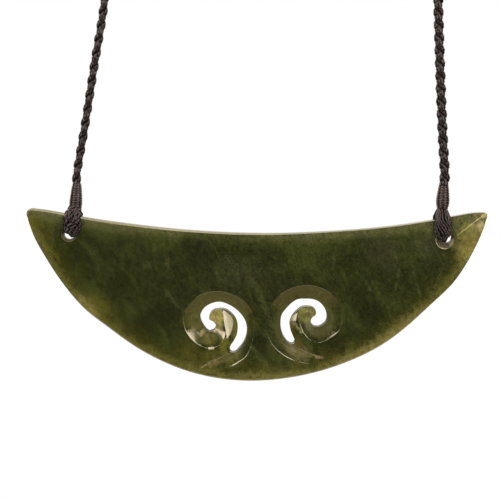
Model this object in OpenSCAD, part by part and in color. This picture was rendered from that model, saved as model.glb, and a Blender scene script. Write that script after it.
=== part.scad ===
// Koru breastplate necklace: a pierced greenstone crescent on one loop of plaited cord, in the shape
// that it has when worn. Millimetres, +Z up, +X to the viewer's right, and the breastplate faces -Y.
// The origin is on the nape of the neck, where the inner side of the cord rests.
// The breastplate's own measures start from the middle of the line through its two tips.

/* [Breastplate] */
// Width of the crescent from tip to tip
plate_w = 120; // [116:1:126]
// Height from the tip line down to the lowest point of the belly
plate_h = 44.2; // [43:0.2:47]
// How far the hollow of the top edge dips below the tip line
top_dip = 5.7; // [5:0.1:6.4]
// How far right of the middle the top edge is lowest
top_low_x = 2.4; // [0:0.2:4]
// Thickness of the stone
plate_t = 5; // [4:0.1:6]
// Radius of the rounded rim
rim_r = 1.2; // [0.6:0.1:1.6]

/* [Cord holes] */
// Diameter of both cord holes
hole_d = 3.5; // [3.3:0.1:3.8]
// Width of the bevel round the mouths of the holes
hole_bevel = 0.8; // [0.3:0.1:0.9]
// Distance of each hole from the middle
hole_x = 48.8; // [48:0.1:49.5]
// Depth of the left hole below the tip line
hole_drop_left = 5.7; // [5.4:0.1:6.2]
// Depth of the right hole below the tip line
hole_drop_right = 7.8; // [7.4:0.1:8.2]

/* [Koru carving] */
// Depth of the ground hollow where it meets the slot
hollow_depth = 1.6; // [0.8:0.1:2.2]
// Height of the small step at the outer edge of the hollow
step_depth = 0.3; // [0.1:0.1:0.5]

/* [Cord and threads] */
// Thickness of the left half of the plait, which is drawn out thinner
cord_d_left = 2.1; // [1.8:0.1:2.1]
// Thickness of the right half of the plait
cord_d_right = 2.4; // [2:0.1:2.4]
// Thickness of the plait at the nape
cord_d_nape = 2.3; // [1.8:0.1:2.6]
// Thickness of the flattened bundle of threads in front of the stone and behind it
bundle_t = 0.9; // [0.7:0.1:1]
// Widest spread of that bundle
bundle_w = 4.2; // [3:0.1:4.6]
// Room between pieces that touch
gap = 0.1; // [0.05:0.01:0.14]

/* [Hidden] */

stone_colour = [0.16, 0.22, 0.07];
cord_colour = [0.10, 0.07, 0.06];
thread_colour = [0.15, 0.11, 0.10];

// Where the breastplate hangs: the middle of its tip line
plate_y = -131;
tip_line_z = -190;

// The belly is one arc through the widest points, which lie a little below the tip line
widest_drop = 1;
belly_rise = plate_h - widest_drop;
belly_r = (pow(plate_w / 2, 2) + pow(belly_rise, 2)) / (2 * belly_rise);
top_r = (pow(plate_w / 2, 2) + pow(top_dip, 2)) / (2 * top_dip);
function top_edge_z(x) = top_r - top_dip - sqrt(pow(top_r, 2) - pow(x - top_low_x, 2));

plate_fn = 180;
round_fn = 48;

// The outline of each koru's slot, from the bottom of its round eye along the outer side to the tail,
// and back along the inner side round the head to the eye: [x, z]
slot_left = [
    [-12.3, -31.5], [-14.0, -29.9], [-14.8, -27.5], [-13.8, -25.4], [-11.8, -24.1], [-9.7, -23.7],
    [-7.0, -24.6], [-4.5, -26.5], [-3.0, -28.7], [-2.6, -30.9], [-3.1, -33.6], [-4.4, -35.7],
    [-5.9, -37.0], [-6.9, -36.8], [-7.0, -35.6], [-6.0, -33.9], [-5.2, -32.2], [-5.0, -30.5],
    [-5.4, -28.5], [-6.7, -26.8], [-8.2, -25.8], [-9.7, -25.6], [-11.3, -26.0], [-12.3, -27.1],
    [-12.4, -28.3], [-11.4, -28.9], [-10.7, -29.8], [-11.0, -30.9]];
slot_right = [
    [15.9, -30.3], [17.5, -29.6], [18.3, -28.2], [18.2, -26.7], [17.4, -24.9], [16.1, -23.6],
    [14.5, -23.0], [12.5, -22.9], [10.8, -23.0], [9.5, -23.7], [7.7, -25.4], [6.5, -27.1],
    [6.2, -28.9], [6.4, -31.2], [7.2, -33.2], [8.3, -34.5], [9.4, -34.8], [9.9, -34.0],
    [9.4, -32.6], [8.8, -31.0], [8.6, -29.4], [9.1, -27.8], [10.5, -26.1], [11.9, -25.1],
    [13.3, -25.0], [14.8, -25.4], [15.5, -26.4], [15.3, -27.2], [14.4, -27.9], [14.1, -29.0],
    [14.6, -30.0]];

// The ground hollow round each slot, from the ridge beside the head, under the eye and round to the
// tail: [edge_x, edge_z] on its outer edge, [foot_x, foot_z] over the slot, where its floor is lowest
EDGE_X = 0;
EDGE_Z = 1;
FOOT_X = 2;
FOOT_Z = 3;
hollow_left = [
    [ -9.0, -26.5, -11.6, -29.5],
    [ -8.0, -31.3, -11.4, -29.9],
    [ -9.7, -34.7, -11.6, -30.3],
    [-14.0, -35.3, -12.1, -30.4],
    [-18.6, -31.0, -13.0, -29.6],
    [-18.7, -26.5, -13.7, -27.6],
    [-15.8, -22.8, -12.7, -25.6],
    [ -9.8, -21.0,  -9.6, -24.7],
    [ -3.7, -23.2,  -6.4, -26.2],
    [ -0.5, -28.9,  -4.1, -29.2],
    [ -0.7, -34.0,  -3.9, -32.4],
    [ -2.2, -37.3,  -5.0, -34.8],
    [ -4.7, -39.6,  -6.4, -36.3],
    [ -8.7, -41.2,  -9.2, -38.3],
    [-14.7, -41.2, -14.4, -40.9]];
hollow_right = [
    [11.0, -27.2, 15.3, -28.6],
    [11.6, -30.6, 15.2, -29.1],
    [13.8, -33.5, 15.5, -29.5],
    [17.1, -34.3, 16.0, -29.5],
    [21.6, -31.0, 16.9, -28.8],
    [21.4, -26.4, 17.0, -27.0],
    [19.1, -22.4, 16.1, -25.1],
    [14.5, -19.6, 13.6, -23.9],
    [ 8.8, -19.8, 10.8, -24.3],
    [ 4.2, -23.2,  8.3, -26.9],
    [ 2.4, -28.6,  7.4, -29.2],
    [ 3.2, -32.7,  7.9, -32.3],
    [ 5.8, -36.4,  9.1, -33.9],
    [ 9.8, -38.9, 10.8, -35.9],
    [13.3, -39.7, 13.5, -37.1],
    [17.1, -38.4, 16.8, -37.9]];
steps_per_row = 4;
// The share of its depth that a hollow keeps at the very end of its tail
tail_share = 0.05;

// The middle line of the cord, from inside the left binding up over the chest, round the nape and
// down to the right binding: [x, y, z]
cord_route = [
    [-47.29, -131, -186.7], [-47, -131, -182.9], [-46.8, -131, -179.5], [-44.8, -130.7, -168],
    [-42.3, -129.7, -152], [-39.8, -128, -136], [-39, -125.3, -120], [-39.8, -121, -104],
    [-42.5, -114, -85], [-47, -103.5, -66], [-52, -89, -48.5], [-55.5, -70, -33],
    [-55.5, -49.5, -20.5], [-50.5, -29, -11], [-40, -13, -5], [-24.5, -2.8, -1.5],
    [0, 1.2, 0],
    [24.5, -2.8, -1.5], [40, -13, -5], [50.5, -29, -11], [55.5, -49.5, -20.5],
    [56, -70, -33], [54.3, -89, -48.5], [51.5, -103.5, -66], [49, -114, -85],
    [47.6, -121, -104], [47.2, -125.3, -120], [47.3, -128, -136], [47.7, -129.7, -152],
    [48.3, -130.7, -168], [48.8, -131, -179.5], [48.5, -131, -182.9], [48.38, -131, -186.7]];
nape_row = 16;
cord_start = 0.02;
neck_middle = [0, -62];
cord_rings = 41;
cord_sides = 8;

// The bindings, measured from the tip line: where each starts and ends, and how thick it is on the way
binding_z = 0.5;
binding_h = 6.6;
binding_x_left = [-47.5, -47];
binding_x_right = [48.3, 48.5];
// [height, radius]
binding_left = [[0, 1.55], [0.5, 1.7], [1.8, 1.78], [3.6, 1.6], [5.2, 1.44], [6.6, 1.35]];
binding_right = [[0, 1.45], [0.5, 1.65], [2.2, 1.88], [3.8, 1.75], [5.4, 1.55], [6.6, 1.46]];
bundle_sides = 8;

// A smooth curve through the rows of a table, for all its columns at once. t runs from 0 at the first
// row to the number of the last one, and on to the first row again where the curve is closed.
function blend(a, b, c, d, t) =
    (2 * b + (c - a) * t + (2 * a - 5 * b + 4 * c - d) * t * t + (3 * b - a - 3 * c + d) * t * t * t) / 2;
function curve_at(rows, t) =
    let (last = len(rows) - 1, i = min(floor(t), last - 1))
    blend(i > 0 ? rows[i - 1] : 2 * rows[0] - rows[1], rows[i], rows[i + 1],
          i + 2 > last ? 2 * rows[last] - rows[last - 1] : rows[i + 2], t - i);
function ring_curve_at(rows, t) =
    let (n = len(rows), i = floor(t))
    blend(rows[(i + n - 1) % n], rows[i % n], rows[(i + 1) % n], rows[(i + 2) % n], t - i);
function unit(v) = v / norm(v);

// Faces of a tube: each ring has the same number of points, counted the same way round
function tube_walls(rings, sides, closed = false) = [
    for (r = [0 : rings - (closed ? 1 : 2)], s = [0 : sides - 1])
        let (next_r = (r + 1) % rings, next_s = (s + 1) % sides,
             a = r * sides + s, b = r * sides + next_s, c = next_r * sides + s, d = next_r * sides + next_s)
        each [[a, d, c], [a, b, d]]];
function tube_ends(rings, sides) = [
    [for (s = [sides - 1 : -1 : 0]) s],
    [for (s = [0 : sides - 1]) (rings - 1) * sides + s]];

// Breastplate

// The corner points of the rounded rim, from the face of the stone to its edge: [inset, height]
rim_turns = [0, 30, 60, 90];
function rim_corner() = [for (a = rim_turns) [rim_r * (1 - sin(a)), plate_t / 2 - rim_r * (1 - cos(a))]];

module rounded_disc(r) {
    corner = rim_corner();
    rotate([90, 0, 0]) rotate_extrude($fn = plate_fn)
        polygon(concat([[0, -plate_t / 2], [0, plate_t / 2]],
            [for (c = corner) [r - c.x, c.y]],
            [for (i = [len(corner) - 1 : -1 : 0]) [r - corner[i].x, -corner[i].y]]));
}

// What is cut away above the hollow top edge, leaving a rim that is rounded in the same way
module top_cutter(r) {
    corner = rim_corner();
    above = plate_t / 2 + 1;
    rotate([90, 0, 0]) rotate_extrude($fn = plate_fn)
        polygon(concat([[0, -above], [0, above], [r + rim_r, above]],
            [for (c = corner) [r + c.x, c.y]],
            [for (i = [len(corner) - 1 : -1 : 0]) [r + corner[i].x, -corner[i].y]],
            [[r + rim_r, -above]]));
}

module crescent() {
    difference() {
        intersection() {
            translate([0, 0, belly_r - plate_h]) rounded_disc(belly_r);
            rounded_disc(plate_w / 2);
        }
        translate([top_low_x, 0, top_r - top_dip]) top_cutter(top_r);
    }
}

module cord_hole(x, z) {
    translate([x, 0, z]) rotate([90, 0, 0]) {
        cylinder(h = 2 * plate_t, d = hole_d, center = true, $fn = round_fn);
        for (side = [0, 1]) mirror([0, 0, side]) translate([0, 0, plate_t / 2 - hole_bevel])
            cylinder(h = 2 * hole_bevel, r1 = hole_d / 2, r2 = hole_d / 2 + 2 * hole_bevel, $fn = round_fn);
    }
}

module slot(outline) {
    rotate([90, 0, 0]) linear_extrude(2 * plate_t, center = true)
        polygon([for (t = [0 : 1 / steps_per_row : len(outline) - 1 / steps_per_row])
            ring_curve_at(outline, t)]);
}

// A small step at the outer edge, then a floor that slopes down to the slot, running out at the tail.
// turn is 1 where the rows run clockwise round the eye, as on the left, and -1 where they don't.
module ground_hollow(rows, turn) {
    last = len(rows) - 1;
    front = -plate_t / 2;
    above = front - 1;
    corners = 4;
    section = function (t)
        let (p = curve_at(rows, t), share = min(1, last - t + tail_share))
        [[p[EDGE_X], above, p[EDGE_Z]],
         [p[EDGE_X], front + step_depth * share, p[EDGE_Z]],
         [p[FOOT_X], front + hollow_depth * share, p[FOOT_Z]],
         [p[FOOT_X], above, p[FOOT_Z]]];
    places = [for (t = [0 : 1 / steps_per_row : last]) t];
    polyhedron([for (t = places, k = [0 : corners - 1]) section(t)[turn > 0 ? k : corners - 1 - k]],
        concat(tube_walls(len(places), corners), tube_ends(len(places), corners)));
}

module breastplate() {
    color(stone_colour) translate([0, plate_y, tip_line_z]) difference() {
        crescent();
        cord_hole(-hole_x, -hole_drop_left);
        cord_hole(hole_x, -hole_drop_right);
        slot(slot_left);
        slot(slot_right);
        ground_hollow(hollow_left, 1);
        ground_hollow(hollow_right, -1);
    }
}

// Plaited cord

// One stretch of the route as a plain tube that changes evenly from one thickness to another
module cord_stretch(from_t, to_t, from_d, to_d) {
    rings = [for (i = [0 : cord_rings - 1])
        let (part = i / (cord_rings - 1), t = from_t + (to_t - from_t) * part,
             r = (from_d + (to_d - from_d) * part) / 2,
             place = curve_at(cord_route, t),
             run = unit(curve_at(cord_route, t + 0.01) - curve_at(cord_route, t - 0.01)),
             outward = [place.x - neck_middle.x, place.y - neck_middle.y, 0],
             across = unit(outward - (outward * run) * run),
             along = cross(across, run))
        for (s = [0 : cord_sides - 1])
            let (turn = 360 * s / cord_sides)
            place + r * (cos(turn) * across + sin(turn) * along)];
    polyhedron(rings, concat(tube_walls(cord_rings, cord_sides), tube_ends(cord_rings, cord_sides)));
}

// The share of a row by which each half stops short of the nape, so that they nearly meet
nape_gap = gap / 2 / norm(cord_route[nape_row] - cord_route[nape_row - 1]);

module plaited_cord_left() {
    color(cord_colour) cord_stretch(cord_start, nape_row - nape_gap, cord_d_left, cord_d_nape);
}

module plaited_cord_right() {
    color(cord_colour) cord_stretch(nape_row + nape_gap, 2 * nape_row - cord_start,
        cord_d_nape, cord_d_right);
}

// Whippings

// A barrel of wound thread round the end of the plait, with the plait's own bore through it
module whipping(rows, x, bore_d) {
    color(thread_colour) translate([x[0], plate_y, tip_line_z + binding_z])
        rotate([0, atan2(x[1] - x[0], binding_h), 0])
        rotate_extrude($fn = round_fn)
        polygon(concat([[bore_d / 2, rows[0][0]]],
            [for (t = [0 : 0.5 : len(rows) - 1]) let (p = curve_at(rows, t)) [p[1], p[0]]],
            [[bore_d / 2, rows[len(rows) - 1][0]]]));
}

module whipping_left() {
    whipping(binding_left, binding_x_left, cord_d_left + 2 * gap);
}

module whipping_right() {
    whipping(binding_right, binding_x_right, cord_d_right + 2 * gap);
}

// Thread loops

// The bundle goes once round the stone between the hole and the top edge, and its top is held in the
// binding. The rows run from that top down the front to the middle of the hole, and their mirror
// image goes up the back: [y, z, half of the width, half of the thickness]. The bundle lies flat on
// the sloping top edge, and leans sideways from the hole to the binding.
module thread_loop(hole_x, hole_z, tie_x) {
    half_t = bundle_t / 2;
    edge_z = top_edge_z(hole_x);
    face_y = -(plate_t / 2 + gap + half_t);
    turn_r = rim_r + gap + half_t;
    turn_y = rim_r - plate_t / 2;
    turn_z = edge_z - rim_r;
    over_rim = function (a) [turn_y - turn_r * sin(a), turn_z + turn_r * cos(a)];
    mouth_z = hole_z + hole_d / 2 + hole_bevel;
    tied = [0.7, 0.3];
    in_hole = [1, 0.5];
    front = [
        concat([-0.45, binding_z + 1.2], tied),
        concat([-0.6, binding_z - 0.1], tied),
        concat(over_rim(52), [0.45 * bundle_w, half_t]),
        concat(over_rim(72), [bundle_w / 2, half_t]),
        concat(over_rim(90), [bundle_w / 2, half_t]),
        [face_y, mouth_z - 0.2, 1.6, half_t],
        [face_y + 0.45, mouth_z - 1.05, 1.25, 0.45],
        concat([face_y + 1.4, hole_z + 0.9], in_hole)];
    last = len(front) - 1;
    rows = concat(
        [concat([0, binding_z + 1.85], tied)], front, [concat([0, hole_z + 0.9], in_hole)],
        [for (i = [last : -1 : 0]) [-front[i][0], front[i][1], front[i][2], front[i][3]]]);
    lean = (tie_x - hole_x) / (binding_z - hole_z);
    slope = (top_edge_z(hole_x + 1) - top_edge_z(hole_x - 1)) / 2;
    places = [for (t = [0 : 0.5 : len(rows) - 0.5]) ring_curve_at(rows, t)];
    count = len(places);
    points = [for (i = [0 : count - 1])
        let (p = places[i], after = places[(i + 1) % count], before = places[(i + count - 1) % count],
             run = unit([after[0] - before[0], after[1] - before[1]]))
        for (s = [0 : bundle_sides - 1])
            let (turn = 360 * s / bundle_sides, side = p[2] * cos(turn), out = p[3] * sin(turn))
            [hole_x + lean * (p[1] - hole_z) + side, p[0] - run.y * out,
             p[1] + run.x * out + slope * side]];
    color(thread_colour) translate([0, plate_y, tip_line_z])
        polyhedron(points, tube_walls(count, bundle_sides, closed = true));
}

module thread_loop_left() {
    thread_loop(-hole_x, -hole_drop_left, binding_x_left[0]);
}

module thread_loop_right() {
    thread_loop(hole_x, -hole_drop_right, binding_x_right[0]);
}

breastplate();
plaited_cord_left();
plaited_cord_right();
whipping_left();
whipping_right();
thread_loop_left();
thread_loop_right();
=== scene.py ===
# %% [markdown]
# # A greenstone breastplate on a plaited cord
#
# This lesson builds the looks of a necklace: a crescent of dark green nephrite with two pierced koru
# spirals, hung from one loop of plaited, waxed cord. The necklace's measured model is loaded first as a
# fixed frame. Every piece made here takes the place of one of its plain solids, and rides on its one body.

# %% Load the frame
import bpy
import bmesh
import math
from mathutils import Matrix, Vector
from mathutils.geometry import interpolate_bezier


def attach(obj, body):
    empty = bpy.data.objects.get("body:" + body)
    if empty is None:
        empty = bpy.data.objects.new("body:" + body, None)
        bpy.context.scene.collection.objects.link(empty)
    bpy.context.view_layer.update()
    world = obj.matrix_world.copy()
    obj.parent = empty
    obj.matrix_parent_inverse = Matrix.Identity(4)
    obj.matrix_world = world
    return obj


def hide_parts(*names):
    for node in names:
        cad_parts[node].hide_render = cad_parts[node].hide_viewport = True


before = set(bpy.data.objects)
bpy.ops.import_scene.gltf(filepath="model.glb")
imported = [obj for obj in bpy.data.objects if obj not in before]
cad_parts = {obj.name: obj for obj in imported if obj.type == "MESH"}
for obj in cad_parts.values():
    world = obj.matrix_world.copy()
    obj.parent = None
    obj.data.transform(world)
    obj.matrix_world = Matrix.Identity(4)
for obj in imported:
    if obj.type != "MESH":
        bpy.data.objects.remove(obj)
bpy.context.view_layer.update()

print("solids in the frame:", sorted(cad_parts))

# %% [markdown]
# The necklace is measured in millimetres from the middle of the line through the crescent's two tips, with
# x to the right, y away from the viewer and z up. Each piece is made with those numbers, and is brought to
# metres and to its place in the frame at the very end. Its object itself then stays at the origin.

# %% Where the crescent hangs
TIP_LINE = Vector((0, -131, -190))
FACE, BACK = -2.5, 2.5
to_frame = Matrix.Scale(0.001, 4) @ Matrix.Translation(TIP_LINE)


def in_frame(x, y, z):
    """A point given in the crescent's own millimetres, in the frame's metres."""
    return to_frame @ Vector((x, y, z))


def add(name, data):
    """An object of the scene that shows the given mesh, light or camera."""
    made = bpy.data.objects.new(name, data)
    bpy.context.scene.collection.objects.link(made)
    return made


def as_mesh(bm, name):
    """The mesh of a finished bmesh."""
    mesh = bpy.data.meshes.new(name)
    bm.to_mesh(mesh)
    bm.free()
    return mesh


print("the face of the stone is at y =", round(in_frame(0, FACE, 0).y, 4))

# %% [markdown]
# The photograph looks straight at the stone from a little above, so that a thin strip of its top edge
# shows. A long lens keeps the two cords nearly parallel. The picture is square and 130 mm wide at the stone.

# %% The camera
CAMERA_RISE = math.radians(4)
CAMERA_AWAY = 0.542
target = in_frame(-1.78, FACE, -10.12)
lens = bpy.data.cameras.new("camera")
lens.lens = 150
lens.sensor_width = 36
lens.clip_start = 0.01
camera = add("camera", lens)
toward = Vector((0, -math.cos(CAMERA_RISE), math.sin(CAMERA_RISE)))
camera.location = target + toward * CAMERA_AWAY
camera.rotation_euler = toward.to_track_quat("Z", "Y").to_euler()
bpy.context.scene.camera = camera
bpy.context.scene.view_settings.view_transform = "Standard"
print("the picture is", round(1000 * CAMERA_AWAY * lens.sensor_width / lens.lens, 1), "mm wide at the stone")

# %% [markdown]
# Polished stone is mostly seen by what it mirrors. Two tall soft boxes stand to the left and right of the
# camera, with a dark gap between them, so the flat face stays deep green and every slope that turns away
# from the camera lights up. A broad light overhead whitens the chamfered top edge, a low warm card tints
# the ground bands that lean down, and a pale wall behind is what the top of the rim mirrors.

# %% Soft lights
WARM = (1, 0.84, 0.62)


def soft_box(name, place, size, glow, colour=WARM, aim=None):
    """A rectangle of even light. glow is how bright it looks from any side."""
    light = bpy.data.lights.new(name, "AREA")
    light.shape = "RECTANGLE"
    light.size, light.size_y = size
    light.color = colour
    light.energy = 4 * size[0] * size[1] * glow
    box = add(name, light)
    box.location = place
    box.rotation_euler = (Vector(place) - Vector(aim or target)).to_track_quat("Z", "Y").to_euler()
    box.visible_camera = False


def around(azimuth, distance, height):
    """A place round the stone: 0 degrees is in front of it, and 90 to its right."""
    turn = math.radians(azimuth)
    return target + Vector((distance * math.sin(turn), -distance * math.cos(turn), height))


for side in (-1, 1):
    for name, azimuth, height, size, glow in (("soft_box", 46, 0.62, (0.52, 1.5), 6),
                                              ("soft_box_behind", 141, 0.4, (0.5, 1.2), 2.5)):
        place = around(side * azimuth, 0.9, height)
        soft_box(name, place, size, glow, aim=Vector((target.x, target.y, place.z)))
soft_box("light_overhead", target + Vector((0, -0.05, 0.85)), (1.1, 1.1), 2.8)
soft_box("warm_card", target + Vector((0, -0.8, -0.43)), (1.3, 0.5), 0.45, (1, 0.72, 0.27))
soft_box("pale_wall", target + Vector((0, 0.8, 0.36)), (1.2, 0.8), 0.5, (1, 0.9, 0.78))

world = bpy.data.worlds.new("studio")
bpy.context.scene.world = world
world.use_nodes = True
nodes, link = world.node_tree.nodes, world.node_tree.links.new
nodes.clear()
choose = nodes.new("ShaderNodeMixShader")
link(nodes.new("ShaderNodeLightPath").outputs["Is Camera Ray"], choose.inputs[0])
# The dim room lights the necklace, and the camera sees white behind it.
for socket, glow in ((1, (0.052, 0.047, 0.036, 1)), (2, (1, 1, 1, 1))):
    background = nodes.new("ShaderNodeBackground")
    background.inputs["Color"].default_value = glow
    link(background.outputs[0], choose.inputs[socket])
link(choose.outputs[0], nodes.new("ShaderNodeOutputWorld").inputs["Surface"])

# %% [markdown]
# The necklace hangs as it does when worn, over a plain pale floor that is far enough below to stay out of
# the picture. The floor isn't part of the necklace.

# %% The floor
bm = bmesh.new()
bmesh.ops.create_circle(bm, cap_ends=True, radius=0.45, segments=96,
                        matrix=Matrix.Translation((0, -0.07, -0.56)))
floor = add("floor", as_mesh(bm, "floor"))
floor_paint = bpy.data.materials.new("floor_paint")
floor_paint.use_nodes = True
shader = floor_paint.node_tree.nodes["Principled BSDF"]
shader.inputs["Base Color"].default_value = (0.8, 0.78, 0.74, 1)
shader.inputs["Roughness"].default_value = 0.8
floor.data.materials.append(floor_paint)

# %% [markdown]
# A carver draws an outline as one flowing line through a few points. A Bezier curve does the same: every
# point gets a direction from its two neighbours, weighted by how near they are, and the spans between
# the points are then filled in evenly.

# %% Flowing lines


def flowing_line(points, step):
    """Points about a step apart on a smooth closed curve through the given ones."""
    points = [Vector(p) for p in points]
    count = len(points)
    gaps = [(points[(i + 1) % count] - points[i]).length for i in range(count)]

    def heading(i):
        before, here, after = points[i - 1], points[i], points[(i + 1) % count]
        a, b = gaps[i - 1], gaps[i]
        return ((here - before) * b / a + (after - here) * a / b) / (a + b)

    line = []
    for i in range(count):
        j = (i + 1) % count
        third = gaps[i] / 3
        parts = max(2, round(gaps[i] / step)) + 1
        line += interpolate_bezier(points[i], points[i] + heading(i) * third,
                                   points[j] - heading(j) * third, points[j], parts)[:-1]
    return line


def through_table(rows, steps, closed=False):
    """Rows in between the rows of a table, for all its columns at once."""
    rows = [Vector(row) for row in rows]
    count = len(rows)

    def row(i):
        if closed:
            return rows[i % count]
        if i < 0:
            return 2 * rows[0] - rows[1]
        return rows[i] if i < count else 2 * rows[-1] - rows[-2]

    made = []
    for i in range(count if closed else count - 1):
        a, b, c, d = (row(i + k) for k in (-1, 0, 1, 2))
        for t in (k / steps for k in range(steps)):
            made.append((2 * b + (c - a) * t + (2 * a - 5 * b + 4 * c - d) * t * t
                         + (3 * b - a - 3 * c + d) * t * t * t) / 2)
    return made if closed else made + [rows[-1]]


def outward(line):
    """For each point of a closed outline in x and z, the direction straight out of it."""
    count = len(line)
    area = sum(line[i - 1].x * line[i].y - line[i].x * line[i - 1].y for i in range(count))
    turn = -1 if area < 0 else 1
    runs = [(line[(i + 1) % count] - line[i - 1]).normalized() for i in range(count)]
    return [turn * Vector((run.y, -run.x)) for run in runs]

# %% [markdown]
# Nearly every solid here is one ring of corners that is drawn out, section by section, and closed at
# both ends. The ring's edges are extruded, and the new corners are moved to where the next section has them.

# %% Drawing a ring out


def draw_out(bm, sections):
    """Extrude the first section's ring through all the others, and cap the two ends."""
    ring = [bm.verts.new(p) for p in sections[0]]
    first = edges = [bm.edges.new(pair) for pair in zip(ring, ring[1:] + ring[:1])]
    for section in sections[1:]:
        grown = set(bmesh.ops.extrude_edge_only(bm, edges=edges)["geom"])
        ring = [next(e.other_vert(v) for e in v.link_edges if e.other_vert(v) in grown) for v in ring]
        for corner, p in zip(ring, section):
            corner.co = p
        edges = [bm.edges.get(pair) for pair in zip(ring, ring[1:] + ring[:1])]
    for end in (first, edges):
        bmesh.ops.contextual_create(bm, geom=end)
    bmesh.ops.recalc_face_normals(bm, faces=bm.faces)


def solid(name, build):
    """A working object, in the crescent's own millimetres, from a function that fills its bmesh."""
    bm = bmesh.new()
    build(bm)
    return add(name, as_mesh(bm, name))

# %% [markdown]
# ## The breastplate
#
# The real one is sawn from a boulder, ground to a crescent 5 mm thick and polished. Its front keeps crisp
# edges: a chamfer along the hollow top that fades out to the right, and a worn rounding round the belly.
# The same outline is drawn out from the front to the back, with a table that says how far each ring is
# inset, so the edge gets its own shape on each side.

# %% The outline of the stone
top_edge = [(-59.7, 0.15), (-58.9, 0.62), (-57.6, 0.52), (-50.3, -0.6), (-45.3, -1.6), (-33, -3.4),
            (-15, -5.2), (2.9, -5.85), (20, -5.25), (34.7, -4), (45.6, -2.4), (50.6, -1.5),
            (58.6, -0.42)]
belly = [(59.5, -0.45), (60, -0.9), (59.7, -2.4), (57.75, -7.7), (55.4, -12.3), (51.6, -18.2),
         (45.2, -24.6), (32.8, -34.9), (20.3, -40.7), (7.9, -43.7), (-3, -44.4), (-17.1, -42.2),
         (-29.5, -36.8), (-39.4, -29.9), (-44.6, -25.8), (-50.6, -18.8), (-54.8, -12.4), (-58.2, -6.2),
         (-59.75, -1.6), (-60, -0.55)]
outline = flowing_line(top_edge + belly, 0.7)
print("the outline has", len(outline), "points")

# %% The rim of the stone
# [how far in, how far back], for a chamfered edge and for a rounded one, and then the same for the back
chamfered = [(0.47, 0), (0.45, 0), (0.22, 0.21), (0.04, 0.4), (0, 0.52), (0, 0.7)]
rounded = [(0.36, 0), (0.34, 0), (0.19, 0.06), (0.08, 0.17), (0.02, 0.33), (0, 0.5)]
behind = [(0, 1.3), (0.08, 0.85), (0.3, 0.42), (0.66, 0.12), (1.1, 0), (1.15, 0)]


def along_top(out):
    """1 where the rim faces up, along the top edge, and 0 where it faces sideways or down."""
    return min(1, max(0, (out.y - 0.2) / 0.4))


def chamfer_share(point, out):
    """1 where the rim is chamfered, along the top, and 0 where it is rounded."""
    fades = min(1, max(0, (14 - point.x) / 40)) * min(1, max(0.2, (point.x + 62) / 14))
    return along_top(out) * (0.2 + 0.8 * fades)


def slimmer(point, out):
    """How much of its full width the rim has. It is narrow along the right half of the top."""
    return 1 - 0.5 * along_top(out) * min(1, max(0, (point.x + 2) / 24))


def stone_body(bm):
    out = outward(outline)
    share = [chamfer_share(p, n) for p, n in zip(outline, out)]
    slim = [slimmer(p, n) for p, n in zip(outline, out)]
    sections = []
    for sharp, soft in zip(chamfered, rounded):
        inset, back = ([w * (s * sharp[k] + (1 - s) * soft[k]) for s, w in zip(share, slim)] for k in (0, 1))
        sections.append([(p.x - n.x * i, FACE + b, p.y - n.y * i)
                         for p, n, i, b in zip(outline, out, inset, back)])
    for inset, back in behind:
        sections.append([(p.x - n.x * inset, BACK - back, p.y - n.y * inset)
                         for p, n in zip(outline, out)])
    draw_out(bm, sections)


stone = solid("stone_body", stone_body)
print("the stone is", [round(s, 2) for s in stone.dimensions], "mm before it is carved")

# %% [markdown]
# ## The koru carving
#
# Each koru starts as a curled slot that is sawn right through. Its edge is eased at the front, so it is
# a little wider there. The slot's outline is drawn out from in front of the stone to behind it, wide
# at first and then narrowing.

# %% The pierced slots
slot_left = [
    (-12.3, -31.5), (-14, -29.9), (-14.8, -27.5), (-13.8, -25.4), (-11.8, -24.1), (-9.7, -23.7),
    (-7, -24.6), (-4.5, -26.5), (-3, -28.7), (-2.6, -30.9), (-3.1, -33.6), (-4.4, -35.7),
    (-5.9, -37), (-6.9, -36.8), (-7, -35.6), (-6, -33.9), (-5.2, -32.2), (-5, -30.5),
    (-5.4, -28.5), (-6.7, -26.8), (-8.2, -25.8), (-9.7, -25.6), (-11.3, -26), (-12.3, -27.1),
    (-12.4, -28.3), (-11.4, -28.9), (-10.7, -29.8), (-11, -30.9)]
slot_right = [
    (15.9, -30.3), (17.5, -29.6), (18.3, -28.2), (18.2, -26.7), (17.4, -24.9), (16.1, -23.6),
    (14.5, -23), (12.5, -22.9), (10.8, -23), (9.5, -23.7), (7.7, -25.4), (6.5, -27.1),
    (6.2, -28.9), (6.4, -31.2), (7.2, -33.2), (8.3, -34.5), (9.4, -34.8), (9.9, -34),
    (9.4, -32.6), (8.8, -31), (8.6, -29.4), (9.1, -27.8), (10.5, -26.1), (11.9, -25.1),
    (13.3, -25), (14.8, -25.4), (15.5, -26.4), (15.3, -27.2), (14.4, -27.9), (14.1, -29),
    (14.6, -30)]
# [how much wider, how deep behind the face]
eased = [(0.3, -1), (0.3, 0.06), (0.2, 0.15), (0.12, 0.27), (0.05, 0.45), (0, 0.7),
         (0, 4.6), (0.05, 4.75), (0.2, 4.9), (0.45, 5), (0.8, 6)]


def slot_cutter(points):
    line = flowing_line(points, 0.35)
    out = outward(line)
    return lambda bm: draw_out(bm, [[(p.x + n.x * wider, FACE + deep, p.y + n.y * wider)
                                     for p, n in zip(line, out)] for wider, deep in eased])

# %% [markdown]
# Round each slot the face is ground away in a hollow that sweeps round the eye and runs out in a tail.
# Its floor is a fan of lines from an outer edge to a foot over the slot. Under the eye it is a bowl, steep
# at the edge and flat at the foot, and over the slot it is a straight band. Where it starts with a small
# step, that step leans back by a half or more, most where it faces sideways, and is a bright line.

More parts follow.
